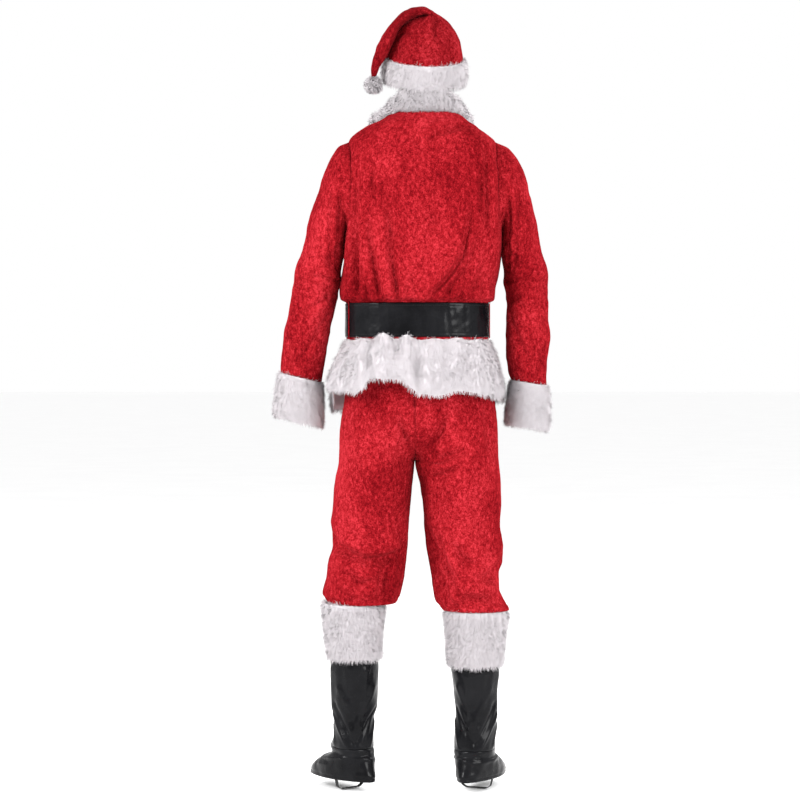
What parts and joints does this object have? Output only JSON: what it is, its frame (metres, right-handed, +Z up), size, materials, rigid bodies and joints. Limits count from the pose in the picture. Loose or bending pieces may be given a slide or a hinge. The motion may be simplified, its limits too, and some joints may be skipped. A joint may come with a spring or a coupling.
{
  "type": "santa suit",
  "caption": "Worn costume suit of red velvet with white fur trim: belted jacket, trousers, pointed hat with a folded tail and pompom, and glossy black boot covers.",
  "frame": {"origin": "base of the wearer's neck, midway between the shoulders, where the worn suit is held up", "axes": "+X toward the wearer's right, +Y toward the wearer's front, +Z up"},
  "size_m": [0.6735, 0.3565, 1.7985],
  "materials": {
    "red_velvet": "crushed velvet with a soft sheen",
    "white_fur": "long soft pile",
    "black_vinyl": "glossy coated cloth",
    "buckle_metal": "plain polished",
    "black_elastic": "matt woven elastic"
  },
  "bodies": {
    "root": {"jacket_back": "red_velvet", "jacket_front_left": "red_velvet", "jacket_front_right": "red_velvet", "sleeve_left": "red_velvet", "sleeve_right": "red_velvet", "belt_loop_left": "red_velvet", "belt_loop_right": "red_velvet", "trouser_waistband": "red_velvet", "trouser_back_left": "red_velvet", "trouser_back_right": "red_velvet", "trouser_front_left": "red_velvet", "trouser_front_right": "red_velvet", "hat_crown": "red_velvet", "collar": "white_fur", "cuff_left": "white_fur", "cuff_right": "white_fur", "fur_hem": "white_fur", "hat_band": "white_fur", "hat_pompom": "white_fur", "boot_fur_left": "white_fur", "boot_fur_right": "white_fur", "belt_strap": "black_vinyl", "boot_shaft_left": "black_vinyl", "boot_shaft_right": "black_vinyl", "boot_foot_left": "black_vinyl", "boot_foot_right": "black_vinyl", "belt_buckle": "buckle_metal", "buckle_prong": "buckle_metal", "boot_strap_left": "black_elastic", "boot_strap_right": "black_elastic"}
  },
  "joints": []
}
